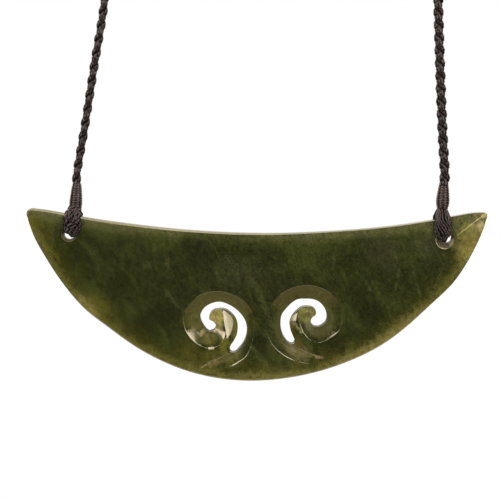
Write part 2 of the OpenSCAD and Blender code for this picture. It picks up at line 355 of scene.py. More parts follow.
# %% The ground hollows
# [edge x, edge z, foot x, foot z, depth at the foot, step at the edge, bowl 1 or band 0, lean of the end wall]
# The numbers that a row leaves out at its end are 0.
hollow_left = [
    (-9, -26.3, -9.7, -25.1, 0.1), (-8.85, -27.4, -11.7, -25.5, 0.35, 0, 0.1),
    (-8.65, -29, -12.9, -27.5, 0.55, 0, 0.1), (-8.4, -30, -12.3, -28.6, 0.65),
    (-8.3, -30.6, -12.1, -29.3, 1.5), (-8.2, -32, -11.8, -30.4, 1.6), (-8.6, -33.3, -11.8, -30.6, 1.25),
    (-9.6, -34.8, -11.8, -30.6, 0.9), (-11, -35.6, -12.05, -30.8, 0.88, 0.05),
    (-12.4, -35.9, -12.4, -30.9, 0.9, 0.07), (-13.6, -35.65, -12.8, -30.8, 0.92, 0.08, 0.2),
    (-15.3, -34.85, -13.15, -30.5, 0.95, 0.11, 0.5), (-17.3, -33.2, -13.4, -30.3, 1, 0.16, 0.8),
    (-18.7, -30.8, -14, -29.2, 0.75, 0.03, 0.15), (-19.2, -27.5, -14.3, -27.5, 0.6, 0, 0.1),
    (-18.3, -25.2, -13.6, -26, 0.6, 0, 0.1), (-15.8, -22.5, -12.4, -24.9, 0.55, 0.03),
    (-13, -21.2, -11.2, -24.4, 0.55, 0.04), (-9.86, -20.9, -9.7, -24.2, 0.55, 0.04),
    (-6.7, -21.6, -7.4, -24.9, 0.55, 0.04), (-3.7, -23.2, -5.1, -26.5, 0.55, 0.02),
    (-1.5, -25.5, -3.8, -28.2, 0.5), (-0.7, -28.2, -3.3, -29.8, 0.4), (-0.8, -31.5, -3.3, -31.6, 0.38),
    (-1.2, -34.3, -4, -33.7, 0.45), (-2.6, -37.7, -5.1, -35.6, 0.55, 0.03),
    (-4.7, -39.5, -6.4, -36.7, 0.6, 0.1, 0, 0.3), (-7, -40.8, -8.7, -38, 0.55, 0.17, 0, 0.8),
    (-9.4, -41.4, -11.35, -39.15, 0.42, 0.12, 0, 1), (-12, -41.75, -13, -40, 0.25, 0.02, 0, 1),
    (-14.9, -41.6, -14.7, -41, 0.03, 0, 0, 1)]
hollow_right = [
    (11.3, -26, 11.9, -24.7, 0.1), (11, -27, 13.8, -24.5, 0.35, 0, 0.1),
    (10.95, -28, 15.9, -25.8, 0.5, 0, 0.1), (11.1, -28.9, 15.9, -27.3, 0.6, 0, 0.1),
    (11.35, -30.1, 14.9, -28.6, 0.65, 0.02, 0.1), (12.1, -31.7, 14.9, -29.2, 0.7, 0.03, 0.1),
    (13.6, -33.4, 15.15, -29.5, 0.75, 0.02, 0.1), (15.6, -34.3, 15.6, -29.75, 0.8, 0, 0.1),
    (17.2, -34.2, 16.15, -29.75, 0.85, 0.15, 0.1), (19.6, -32.9, 16.75, -29.4, 0.85, 0.19, 0.1),
    (21.5, -31, 17.4, -28.8, 0.7, 0.01), (22.3, -27.8, 17.8, -27.7, 0.6), (21.6, -24.5, 17.2, -26, 0.55),
    (19.8, -21.9, 16.2, -24.4, 0.55, 0.03), (17.2, -20.2, 15, -23.7, 0.55, 0.04),
    (13.5, -19.3, 13.3, -23.4, 0.55, 0.04), (9.5, -19.9, 10.8, -23.6, 0.55, 0.04),
    (6, -21.8, 9, -24.7, 0.55, 0.04), (3.6, -24.6, 7.4, -26.6, 0.5, 0.03), (2.4, -28, 6.8, -28.7, 0.5),
    (2.6, -31.5, 7, -31, 0.6), (4, -34.8, 7.8, -33, 0.65, 0.02), (6.2, -37.1, 8.9, -34.2, 0.7, 0.05, 0, 0.2),
    (8.8, -38.7, 10.2, -35.8, 0.75, 0.09, 0, 0.7), (11.2, -39.5, 11.8, -36.6, 0.65, 0.07, 0, 1),
    (14.3, -39.9, 14, -37.4, 0.45, 0, 0, 1), (16.3, -39.3, 15.7, -37.8, 0.25, 0, 0, 1),
    (17.6, -38.7, 17.1, -38.3, 0.05, 0, 0, 1)]

# %% Grinding a hollow
FLOOR_PARTS = 12


def hollow_section(row):
    """One line of the hollow: from above the face down the step, along the floor and up again."""
    edge, foot = Vector((row[0], 0, row[1])), Vector((row[2], 0, row[3]))
    depth, step, bowl, lean = row[4:]
    step = max(0.004, step)
    run = (foot - edge).normalized()
    back = Vector((0, 1, 0))
    start = edge + FACE * back
    lie = 1.5 + abs(run.x)
    section = [start - run * lie - back, start + (run * lie + back) * step]
    length = (foot - edge).length - step * lie
    for k in range(1, FLOOR_PARTS + 1):
        u = k / FLOOR_PARTS
        drop = 1 - (1 - u) ** (1 + 2 * bowl)
        section.append(start + run * (step * lie + length * u) + back * (step + (depth - step) * drop))
    return section + [section[-1] + (run * lean - back) * (depth + 1)]


def hollow_cutter(rows):
    rows = [(*row, 0, 0, 0)[:8] for row in rows]
    return lambda bm: draw_out(bm, [hollow_section(row) for row in through_table(rows, 6)])

# %% [markdown]
# The stalk of each koru is finished with a flat facet that leans towards its slot and then nearly levels
# out. Being flat, it mirrors one soft box as an even pale patch.

# %% The facets on the stalks
# [edge x, edge z, foot x, foot z, share of the way where it levels out, depth there, depth at the foot]
facet_left = [
    (-9.3, -26.1, -9.2, -25.3, 0.5, 0.05, 0.1), (-8.8, -26.8, -7.4, -25.6, 0.5, 0.34, 0.36),
    (-8.6, -28.4, -5.7, -27.4, 0.7, 0.7, 0.74), (-8.35, -30, -4.6, -29.5, 0.57, 0.74, 0.8),
    (-8, -31.8, -4.6, -31.7, 0.36, 0.42, 0.5), (-7.9, -33.3, -5.4, -34, 0.1, 0.06, 0.2),
    (-8.2, -35, -6.4, -36, 0.3, 0.02, 0.1), (-8, -36.3, -7.1, -37.2, 0.5, 0.01, 0.02)]
facet_right = [
    (11.2, -25.9, 10.6, -25.5, 0.8, 0.08, 0.1), (10.55, -27, 8.7, -26.2, 0.95, 0.62, 0.66),
    (10.25, -28.2, 8.1, -28, 0.95, 0.7, 0.74), (10.35, -29.3, 8.1, -29.3, 0.62, 0.46, 0.55),
    (10.9, -30.6, 8.6, -30.9, 0.3, 0.22, 0.3), (11.6, -31.9, 9.4, -32.5, 0.25, 0.05, 0.05)]


def facet_section(row):
    edge = Vector((row[0], FACE, row[1]))
    foot = Vector((row[2], FACE, row[3]))
    back = Vector((0, 1, 0))
    level = edge.lerp(foot, row[4]) + back * row[5]
    return [edge - back, edge, edge.lerp(level, 0.5), level, level.lerp(foot + back * row[6], 0.5),
            foot + back * row[6], foot - back]


def facet_cutter(rows):
    return lambda bm: draw_out(bm, [facet_section(row) for row in through_table(rows, 6)])

# %% [markdown]
# The two cord holes are drilled, and each is opened at the front with a wide cone. A profile is spun round
# the hole's middle line for each cut. The right hole isn't in the middle of its cone, as hand drilling goes.

# %% The cord holes
HOLE_LEFT, CONE_LEFT = (-48.85, -5.9), (-48.9, -5.95)
HOLE_RIGHT, CONE_RIGHT = (49.55, -7), (48.9, -7.5)


def spun(x, z, profile):
    """A cutter with the given profile of [radius, depth], spun round a line straight through the stone."""
    def build(bm):
        corners = [bm.verts.new((x + r, FACE + deep, z)) for r, deep in profile]
        edges = [bm.edges.new(pair) for pair in zip(corners, corners[1:])]
        bmesh.ops.spin(bm, geom=corners + edges, cent=(x, 0, z), axis=(0, 1, 0),
                       angle=2 * math.pi, steps=64, use_merge=True)
        bmesh.ops.remove_doubles(bm, verts=bm.verts, dist=0.0001)
        bmesh.ops.recalc_face_normals(bm, faces=bm.faces)
    return build


def bore(x, z, radius):
    return spun(x, z, [(0, -1.5), (radius, -1.5), (radius, 4.2), (radius + 0.06, 4.35),
                       (radius + 0.7, 5), (radius + 2.2, 6.5), (0, 6.5)])


def front_cone(x, z, wide, deep):
    return spun(x, z, [(0, -1.5), (wide + 1.45, -1.5), (wide, -0.04), (wide - 0.05, 0),
                       (wide - deep, deep - 0.06), (wide - deep - 0.1, deep), (0, deep)])


def tip_cutter(bm):
    """A thin wedge off the right tip, above a low ridge that runs down from it to the hole."""
    bmesh.ops.create_cube(bm, size=1)
    bmesh.ops.scale(bm, vec=(14, 2, 8), verts=bm.verts)
    bmesh.ops.translate(bm, vec=(0, -1, 4), verts=bm.verts)
    bmesh.ops.rotate(bm, matrix=Matrix.Rotation(math.radians(-4.5), 3, "X"), verts=bm.verts)
    bmesh.ops.rotate(bm, matrix=Matrix.Rotation(math.radians(-38), 3, "Y"), verts=bm.verts)
    bmesh.ops.translate(bm, vec=(56.2, FACE, -3.2), verts=bm.verts)

# %% [markdown]
# All the cutters are taken away from the stone with Boolean modifiers. The result is made one mesh, its
# flat face is divided from everything that was ground, and only the ground surfaces are shaded smooth
# between themselves. That keeps the edge of each hollow as crisp as on the real stone.

# %% Carve the stone
cutters = [solid("cutter", build) for build in (
    slot_cutter(slot_left), slot_cutter(slot_right), hollow_cutter(hollow_left), hollow_cutter(hollow_right),
    facet_cutter(facet_left), facet_cutter(facet_right), bore(*HOLE_LEFT, 1.5),
    front_cone(*CONE_LEFT, 2.15, 0.6), bore(*HOLE_RIGHT, 1.3), front_cone(*CONE_RIGHT, 2.55, 1.1), tip_cutter)]
for cutter in cutters:
    cut = stone.modifiers.new("cut", "BOOLEAN")
    cut.operation = "DIFFERENCE"
    cut.solver = "EXACT"
    cut.object = cutter
carved = bpy.data.meshes.new_from_object(stone.evaluated_get(bpy.context.evaluated_depsgraph_get()))
for used in cutters + [stone]:
    bpy.data.objects.remove(used)
print("the carved stone has", len(carved.polygons), "faces")

# %% Crisp and smooth edges


def place_piece(bm, name, sharp, flat_y=(), crisp=()):
    """Bring a finished bmesh to its place in the frame, shade it, and make it a piece.

    sharp is the angle from which an edge stays crisp, in degrees. flat_y lists where in y the flat faces
    lie, and crisp the circles [x, z, radius] in which even a gentle edge of the front stays crisp."""
    for face in bm.faces:
        face.smooth = True
    for edge in bm.edges:
        sides = edge.link_faces
        if len(sides) != 2:
            continue
        level = [abs(f.normal.y) > 0.99999 and any(abs(f.calc_center_median().y - y) < 0.001 for y in flat_y)
                 for f in sides]
        middle = (edge.verts[0].co + edge.verts[1].co) / 2
        gentle = all(f.normal.y < -0.8 for f in sides) and any(
            math.hypot(middle.x - cx, middle.z - cz) < radius for cx, cz, radius in crisp)
        limit = math.radians(8 if gentle else sharp)
        edge.smooth = level[0] == level[1] and edge.calc_face_angle(0) < limit
    bmesh.ops.transform(bm, matrix=to_frame, verts=bm.verts)
    open_edges = sum(len(edge.link_faces) != 2 for edge in bm.edges)
    piece = add(name, as_mesh(bm, name))
    print(name, "has", len(piece.data.polygons), "faces and", open_edges, "open edges")
    return piece


bm = bmesh.new()
bm.from_mesh(carved)
bmesh.ops.remove_doubles(bm, verts=bm.verts, dist=0.0005)
bmesh.ops.dissolve_degenerate(bm, dist=0.0005, edges=bm.edges)
bm.normal_update()
KORU_LEFT, KORU_RIGHT = (-10, -30.8), (12.6, -29.6)
breastplate = place_piece(bm, "carved_breastplate", sharp=24, flat_y=(FACE, BACK),
                          crisp=[(*KORU_LEFT, 12.5), (*KORU_RIGHT, 12.5)])

# %% [markdown]
# ## Mixing finishes
#
# A finish is a small network of nodes. Writing it as sums keeps it readable: one class wraps a node's
# output, so that adding or multiplying two of them adds the Math node that does it. Every other node
# comes from one method that takes its type, its settings and what goes into its sockets.

# %% A value in a finish


def maths(operation, turned=False):
    """A method that adds a Math node. turned swaps its two numbers, as 1 - mask needs."""
    def method(*values):
        return Value.node("Math", {"operation": operation}, dict(enumerate(values[::-1] if turned else values)))
    return method


def feed(node, inputs):
    """Link each value to its socket, or set the socket to a plain number or colour."""
    for socket, value in inputs.items():
        if isinstance(value, Value):
            Value.tree.links.new(value.socket, node.inputs[socket])
        else:
            node.inputs[socket].default_value = value


class Value:
    """One output of a node, which can be used in sums."""
    tree = None

    def __init__(self, socket):
        self.socket = socket

    @classmethod
    def node(cls, kind, settings, inputs, out=0):
        """Add a node, set it up, fill or link its sockets, and give one of its outputs."""
        made = cls.tree.nodes.new("ShaderNode" + kind)
        for name, value in settings.items():
            setattr(made, name, value)
        feed(made, inputs)
        return cls(made.outputs[out])

    __add__ = __radd__ = maths("ADD")
    __mul__ = __rmul__ = maths("MULTIPLY")
    __sub__, __rsub__ = maths("SUBTRACT"), maths("SUBTRACT", turned=True)
    __pow__, __abs__, __gt__ = maths("POWER"), maths("ABSOLUTE"), maths("GREATER_THAN")
    least, most, wave = maths("MINIMUM"), maths("MAXIMUM"), maths("SINE")

    def pick(self, yes, no):
        """yes where the value is 1, and no where it is 0."""
        return no + self * (yes - no)

    def rise(self, low, high, start=0, end=1):
        """An S-shaped rise from start to end, while the value goes from low to high."""
        return Value.node("MapRange", {"interpolation_type": "SMOOTHSTEP"},
                          {0: self, 1: low, 2: high, 3: start, 4: end})

    def fall(self, low, high):
        """An S-shaped fall from 1 to 0, while the value goes from low to high."""
        return self.rise(low, high, 1, 0)


# %% Colours, clouds and coordinates


def blend(share, first, second):
    """The first colour where the share is 0, and the second where it is 1."""
    first, second = (tint if isinstance(tint, Value) else (*tint, 1) for tint in (first, second))
    return Value.node("Mix", {"data_type": "RGBA"}, {0: share, 6: first, 7: second}, out=2)


def scaled(tint, by):
    """A colour made lighter or darker."""
    return Value.node("VectorMath", {"operation": "SCALE"}, {0: tint, "Scale": by})


def cloud(place, size, detail, roughness=0.5, twist=0):
    """Soft clouds of about the given size, from 0 to 1."""
    return Value.node("TexNoise", {}, {"Vector": place, "Scale": 1 / size, "Detail": detail,
                                       "Roughness": roughness, "Distortion": twist})


def bump(height, strength, distance):
    return Value.node("Bump", {}, {"Strength": strength, "Distance": distance, "Height": height})


def millimetres(shift=(0, 0, 0)):
    """A piece's own coordinates in millimetres, moved by the shift."""
    return Value.node("Mapping", {}, {"Vector": Value.node("TexCoord", {}, {}, out=3), "Scale": (1000,) * 3,
                                      "Location": tuple(shift)})


def parts_of(vector):
    """The x, y and z of a vector."""
    split = Value.node("SeparateXYZ", {}, {"Vector": vector}).socket.node
    return [Value(part) for part in split.outputs]


def strongest(shares):
    """The highest of several shares at each place."""
    best, *others = shares
    for share in others:
        best = best.most(share)
    return best


def new_finish(name):
    """An empty material with a Principled shader, ready for its nodes."""
    finish = bpy.data.materials.new(name)
    finish.use_nodes = True
    Value.tree = finish.node_tree
    return finish, finish.node_tree.nodes["Principled BSDF"]

# %% [markdown]
# ## Nephrite
#
# The stone is dark green with blackish clouds, finer mottling and pale veins that run down to the left. It
# is yellower and lighter along its thin belly edge, where light comes through. Each cloud is laid at its own
# place, and noise makes its edge ragged. All of it is laid in the stone's own millimetres, so a pattern
# goes on inside the carving as it does in the real stone.

# %% The stone's own coordinates and noises
GRAIN_LEAN = math.radians(-27)
nephrite, shader = new_finish("nephrite")
place = millimetres(-TIP_LINE)
x, y, z = parts_of(place)
leaning = Value.node("Mapping", {"vector_type": "TEXTURE"},
                     {"Vector": place, "Rotation": (0, GRAIN_LEAN, 0), "Scale": (1, 1, 2.6)})
big = cloud(leaning, 12, 3, 0.55, 0.6)
middle = cloud(leaning, 4.2, 4, 0.6, 0.4)
blotch = cloud(place, 3.2, 3, 0.6, 0.6)
wisp = cloud(leaning, 1.3, 3, 0.6, 0.3)
fine = cloud(place, 1.1, 2, 0.6)
grain = cloud(place, 0.42, 2, 0.6)
wander_x = x + (blotch - 0.5) * 5 + (middle - 0.5) * 5
wander_z = z + (wisp - 0.5) * 3 + (big - 0.5) * 6

# %% Spots, patches and strokes on the face


def far(across, up):
    """The distance that goes so far across and so far up."""
    return (across ** 2 + up ** 2) ** 0.5


def near(px, pz, inner, outer, squeeze=1):
    """1 within the inner distance of a spot on the face, and 0 beyond the outer one."""
    return far(x - px, (z - pz) * squeeze).fall(inner, outer)


def patch(px, pz, inner, outer):
    """1 in the middle of a cloud with a ragged edge, and 0 outside it."""
    return far(wander_x - px, wander_z - pz).fall(inner, outer)


def off_line(px, pz, ax, az, bx, bz):
    """How far a place is from the straight line between a and b."""
    length = math.hypot(bx - ax, bz - az)
    dx, dz = (bx - ax) / length, (bz - az) / length
    along = ((px - ax) * dx + (pz - az) * dz).most(0).least(length)
    return far(px - ax - along * dx, pz - az - along * dz)


def strokes(line, width, fade, fray=0):
    """1 along a line from point to point, and 0 beside it. fray makes it ragged, in millimetres."""
    px, pz = (x + (fine - 0.5) * fray, z + (wisp - 0.5) * fray) if fray else (x, z)
    return strongest(off_line(px, pz, *a, *b).fall(width * (1 - fade), width) for a, b in zip(line, line[1:]))


def vein(ax, az, bx, bz, width):
    """A wandering line, broken up like a real vein."""
    off = off_line(x + (fine - 0.5) * 2.2, z + (blotch - 0.5) * 2, ax, az, bx, bz)
    return off.fall(0, width) * (0.35 + 0.65 * (grain + wisp).rise(0.85, 1.15))


def paint(share, tint):
    """Lay a tint over the stone, fully where the share is 1."""
    global body
    body = blend(share, body, tint)


# %% Clouds and mottling
green, olive, grey = (0.0125, 0.0185, 0.0046), (0.0082, 0.0112, 0.0022), (0.0098, 0.0128, 0.0048)
light, veil, cream = (0.0245, 0.034, 0.0078), (0.05, 0.058, 0.027), (0.09, 0.095, 0.034)
yellow, straw, earth = (0.028, 0.031, 0.003), (0.042, 0.0455, 0.0075), (0.0205, 0.0235, 0.0125)
deep, slate = (0.0058, 0.0078, 0.0018), (0.032, 0.037, 0.024)
body = blend(blotch.rise(0.44, 0.6), green, olive)
paint(middle.rise(0.5, 0.66) * 0.6, light)
paint(big.rise(0.5, 0.66) * 0.6, grey)
below_top = x ** 2 * 0.0016 - x * 0.009 - 5.7 - z
rough_top = below_top + (blotch - 0.5) * 3 + (middle - 0.5) * 4
pales = abs(x + 9).rise(4, 14, 0.4, 1)
paint(rough_top.fall(1.5, 5.5) * pales * 0.7, light)
# [x, z, how far it is full, where it ends, how strong, tint]
for px, pz, inner, outer, share, tint in [
        (-39, -6, 1, 4, 0.4, light), (-25, -7, 1.5, 5, 0.55, light), (-47, -12, 1.5, 4.5, 0.75, olive),
        (-44, -16.5, 0.5, 3.5, 0.7, olive), (-36, -19, 1, 4, 0.7, olive), (-33, -10, 0.5, 3.5, 0.4, light),
        (-28.8, -14, 0.3, 2, 0.35, veil), (-18.5, -36, 1, 4, 0.35, straw), (-24, -26, 1.5, 5, 0.6, deep),
        (-28, -30.5, 2, 6, 0.7, deep), (-36.5, -31, 0.5, 2.5, 0.4, earth), (-16, -11.5, 2.5, 6, 0.9, grey),
        (-20, -20, 1, 3.5, 0.6, grey), (-16, -12, 0.5, 4, 0.35, deep), (-7, -15.5, 2, 6, 0.2, slate),
        (-13, -17.5, 1, 4, 0.5, grey), (-1, -16.5, 2, 6, 0.35, earth), (13, -10, 3, 8, 0.6, light),
        (17, -16.5, 0.5, 3, 0.5, light), (28.5, -6.5, 0.8, 2.8, 0.9, grey), (33, -9.5, 1.5, 7, 0.6, earth),
        (35.5, -14, 0.8, 3, 0.35, earth), (27.5, -24, 1.5, 4.5, 0.85, olive),
        (30.5, -27.5, 1.5, 4.5, 0.85, deep), (30.5, -19.5, 0.3, 2, 0.4, light), (35, -24, 1, 4, 0.4, light),
        (40, -12, 1, 4, 0.45, light), (45.5, -15, 1.5, 4.5, 0.75, grey), (44, -21, 0.5, 3, 0.6, olive),
        (44, -9, 1.5, 5, 0.35, slate), (53, -6, 1.5, 4.5, 0.5, veil), (19.5, -36, 1.5, 5, 0.75, deep),
        (0, -35, 1, 4.5, 0.6, deep)]:
    paint(patch(px, pz, inner, outer) * share, tint)

# %% Thin edges, where light comes through
belly_depth = 63.3 - far(x - 0.1, z - 19.1)  # the belly is nearly an arc of a circle
rough_depth = belly_depth + (middle - 0.5) * 12 + (blotch - 0.5) * 5
to_right = x.rise(-10, 25)
paint(rough_depth.fall(0.5, 8) * (0.55 - 0.2 * to_right), yellow)
paint((rough_depth + (wisp - 0.5) * 5).fall(0.2, 2.2 + 1.5 * to_right) * 0.65, straw)
# [x, z, how far it is full, where it ends, how strong]
for px, pz, inner, outer, share in [
        (-42, -25.5, 1.5, 5, 0.9), (-12, -38.2, 1, 3, 0.75), (-17, -37.5, 1, 4, 0.4),
        (36, -32, 1.5, 4.5, 0.55), (2, -42.5, 1, 4, 0.4), (11, -42, 1, 3, 0.4)]:
    paint(patch(px, pz, inner, outer) * share, straw)
# The belly rim is painted lighter, and lighter still in three stretches: a painted highlight.
rim = belly_depth + (wisp - 0.5) * 1.8 + (blotch - 0.5) * 3
paint(rim.fall(0.6, 2.5) * 0.75, (0.062, 0.066, 0.02))
painted_rim_highlight = strongest([x.rise(14, 26) * x.fall(40, 47) * 0.9, near(-45.5, -25.5, 2, 6) * 0.9,
                        near(5, -45, 4, 14) * 0.4])
paint((rim + (wisp - 0.5) * 3).fall(0.6, 3.4) * painted_rim_highlight * (0.2 + 0.95 * middle), (0.118, 0.114, 0.048))
paint(patch(57, -3.5, 3, 8) * 0.85, cream)
paint(patch(55.5, -10, 1.5, 5.5) * 0.8, (0.125, 0.118, 0.04))
paint(near(59, -1.5, 1, 5) * 0.8, (0.3, 0.28, 0.18))
paint(patch(-57.5, -2.5, 2, 5.5) * 0.6, straw)
# Along the top edge the colour is painted pale: a painted highlight.
paint((rough_top + (wisp - 0.5) * 2).fall(0.7, 3.2) * pales * 0.9, veil)

# %% Pale veins
pale = strongest(vein(*row) for row in [
    (28.3, -18, 29.9, -21.2, 0.5), (40.8, -14.7, 42.4, -22.2, 0.6), (48.5, -13.8, 45.7, -22.2, 0.6),
    (33.9, -25, 35.4, -28.8, 0.6), (-1.3, -17.5, 2, -24.5, 1.3), (1, -22, 4.2, -30, 1.2),
    (-23.7, -9.5, -23, -15.1, 0.8), (-23.5, -21.3, -18.8, -26.5, 1), (-42.9, -23, -40.6, -26.6, 0.9),
    (-37.5, -27, -35, -30.5, 1), (8.3, -7.6, 7.6, -10.2, 0.3), (-1, -35.8, 3.5, -41.5, 1.1),
    (18.5, -24, 20.5, -30.5, 0.6), (-8.5, -11, -5, -16.5, 0.5),
    (20.5, -9, 19.8, -15, 0.5), (37, -15, 36.2, -20.5, 0.6), (-53.2, -4.2, -53.4, -8.6, 0.7)])
paint(pale * 0.42, (0.042, 0.052, 0.022))

# %% The ground hollows, heads and stalks
depth = y - FACE
front = depth.fall(2, 2.4) * near(*KORU_LEFT, 11.2, 12.5).most(near(*KORU_RIGHT, 11.2, 12.5))
ground = depth.rise(0.1, 0.4) * front
paint(ground * 0.6, (0.027, 0.032, 0.003))
# [x, z, how far it is full, where it ends, how strong, tint]
for px, pz, inner, outer, share, tint in [
        (-17, -28.5, 1.2, 3.6, 0.6, (0.045, 0.052, 0.01)), (-1.9, -30, 1, 3.2, 0.5, (0.036, 0.033, 0.006)),
        (-12.3, -33.4, 0.8, 2.6, 0.7, (0.052, 0.056, 0.008)), (-6, -39, 1, 3.2, 0.5, (0.045, 0.05, 0.012)),
        (11, -37, 1.5, 4.2, 0.4, (0.078, 0.078, 0.042)), (12, -20, 2, 6, 0.4, (0.012, 0.013, 0.004))]:
    paint(near(px, pz, inner, outer) * front * share, tint)
beside_ridge = (x + 0.19 * z + 14.05).fall(0, 0.3)
head_left = near(-10.7, -27.9, 1.4, 2.9, 0.72) * beside_ridge
paint(head_left * front * (0.5 + 0.7 * fine), (0.165, 0.165, 0.06))
paint(near(12.9, -27, 1.5, 3) * front * (0.3 + 1.1 * blotch), (0.085, 0.098, 0.032))
# [points, half width, how strong, tint] of the stalks, which fade out sideways
for line, width, share, tint in [
        ([(-6.6, -26.4), (-5.3, -29.5), (-5.5, -32.5), (-6.8, -35.5)], 1.3, 0.75, (0.05, 0.062, 0.008)),
        ([(-8.3, -33.8), (-8.8, -35.2), (-8.4, -37.2)], 1.7, 0.85, (0.072, 0.078, 0.014)),
        ([(8.7, -29.8), (9.5, -32.8), (11.2, -35.6)], 1.4, 0.8, (0.036, 0.032, 0.004))]:
    paint(strokes(line, width, 0.9) * front * share, tint)

# %% Grinding streaks in the tails
sweep = (x > 1).pick(far(x - 13, z + 29), far(x + 11.2, z + 30.4))
round_it = maths("ARCTAN2")(z + 30, abs(x - 1))
lines = Value.node("CombineXYZ", {}, {0: sweep * 3.2, 1: round_it * 2})
tails = near(11.5, -36.5, 3.5, 6).most(near(-8, -38.5, 2.5, 5) * 0.6)
streaks = cloud(lines, 1, 2, 0.6).rise(0.45, 0.66) * tails
paint(streaks * ground * 0.6, (0.085, 0.086, 0.034))

# %% Painted highlights and reflections on ridges, creases, tips, facets and floors
# Light is painted into the colour here: highlights along the creases of the tails, the ridges and the right
# tip, a bright speck, and pale reflections on the facets and the floors of the hollows. One lighter, brownish
# stroke lies in the left tail.
CREASE_HIGHLIGHT, PALE_REFLECTION, PINK_HIGHLIGHT, TIP_HIGHLIGHT = (0.24, 0.22, 0.11), (0.17, 0.165, 0.11), (0.16, 0.125, 0.1), (0.3, 0.28, 0.16)
# [points, half width, fray, how strong, tint]
for line, width, fray, share, tint in [
        ([(-7, -37.1), (-10.4, -38.8), (-14.6, -41)], 0.14, 0, 0.6, CREASE_HIGHLIGHT),
        ([(9.5, -34.7), (11.1, -36.2), (16.6, -38.3)], 0.14, 0, 0.6, CREASE_HIGHLIGHT),
        ([(11.2, -29.1), (12.2, -31.8), (13.55, -33.4)], 0.16, 0, 0.4, PALE_REFLECTION),
        ([(9.8, -29.2), (10.8, -30.4), (11.8, -31.6)], 0.5, 1.6, 0.5, PALE_REFLECTION),
        ([(12.2, -26.7), (13.2, -26.05), (14.4, -26.3)], 0.22, 0.3, 0.6, PALE_REFLECTION),
        ([(-14, -31.3), (-14.9, -32.3)], 0.9, 2.5, 0.6, PALE_REFLECTION),
        ([(-16.3, -31.2), (-17.6, -31.3)], 0.8, 2, 0.35, PALE_REFLECTION),
        ([(-10.4, -31.3), (-9.2, -31.8)], 1.3, 2, 0.4, PALE_REFLECTION),
        ([(19.2, -32.5), (20.3, -31.8)], 0.6, 2.5, 0.3, PALE_REFLECTION),
        ([(-12.3, -35.8), (-11.5, -35.7)], 0.5, 0.7, 0.7, (0.4, 0.41, 0.36)),
        ([(-8, -27.6), (-7, -29.5), (-7.5, -32)], 0.9, 0, 0.45, PALE_REFLECTION),
        ([(15.4, -38.2), (17, -38.3)], 0.6, 1, 0.6, PINK_HIGHLIGHT),
        ([(-10.8, -39.7), (-12.2, -40.3)], 1.3, 1.5, 0.45, (0.1, 0.085, 0.04)),
        ([(58.9, -1), (52.4, -6.1)], 0.15, 0, 0.75, TIP_HIGHLIGHT), ([(59.2, -1), (58.6, -1.5)], 0.7, 0, 0.5, TIP_HIGHLIGHT)]:
    paint(strokes(line, width, 0.8, fray) * (share * (0.5 + fine)), tint)

# %% The mouths of the cord holes
mouths = near(*CONE_LEFT, 2.1, 2.25).most(near(*CONE_RIGHT, 2.5, 2.65))
cone = mouths * depth.rise(0.03, 0.12) * depth.fall(2.5, 3)
paint(cone * 0.8, (0.014, 0.0165, 0.0075))
# A pale lip is painted round each cone, mostly at the lower left of the right one: a painted highlight.
lip = (1 - near(*CONE_LEFT, 1.75, 1.95).most(near(*CONE_RIGHT, 2.1, 2.3))) * cone
low_left = (x > 0).pick((41.4 - x - z).rise(1, 2.6), 0.2)
paint(lip * low_left * (0.5 + fine) * 0.8, (0.24, 0.24, 0.16))
paint(strokes([(50.4, -8.6), (51, -7.4)], 0.8, 0.9, 1.5) * cone * 0.7, (0.17, 0.15, 0.1))
wall = near(*HOLE_LEFT, 1.53, 1.6).most(near(*HOLE_RIGHT, 1.33, 1.4)) * depth.rise(0.5, 0.7)
paint(wall * 0.9, (0.24, 0.19, 0.15))

# %% Grain and polish
crumbs = grain.rise(0.6, 0.72) * (0.3 + near(4, -20, 6, 26).most(near(36, -11, 5, 18)))
paint(crumbs * 0.5, (0.03, 0.038, 0.018))
calm = x.rise(-40, -8, 0.65, 1) * near(-30, -30, 6, 16).pick(0.6, 1)
tone = 1 + ((grain - 0.5) * 1.5 + (fine - 0.5) * 1.2 + wisp - 0.5) * calm + (blotch - 0.5) * 0.8
top_strip = below_top.fall(0.3, 0.9) * x.fall(-42, -18)
relief = blotch + grain * 0.15 + ground * (fine * 0.5 + streaks * 0.4)
feed(shader, {
    "Base Color": scaled(body, tone.most(0.1)), "Normal": bump(relief, 0.25, 0.00005),
    "Roughness": 0.11 + 0.08 * fine + ground * (0.1 + 0.13 * blotch) + cone * 0.45 + top_strip * 0.12,
    "Coat Weight": (1 - 0.5 * ground - 0.3 * ground * to_right) * (1 - 0.85 * cone - 0.6 * top_strip),
    "Coat Roughness": 0.07, "Coat IOR": 1.5, "IOR": 1.61})
print("the stone's finish has", len(Value.tree.nodes), "nodes")

# %% [markdown]
# ## The plait
#
# The cord is a round plait of four waxed strands. Two strands wind one way and two the other, and where
# they cross, each goes over one and under the next. In numbers, the strands are helices whose distance from
# the middle swings in and out twice a turn. Each strand is a flat grid that is rolled up round its own
# line, wider than it is thick. That way it can broaden where it lies on the outside, as a real one does.

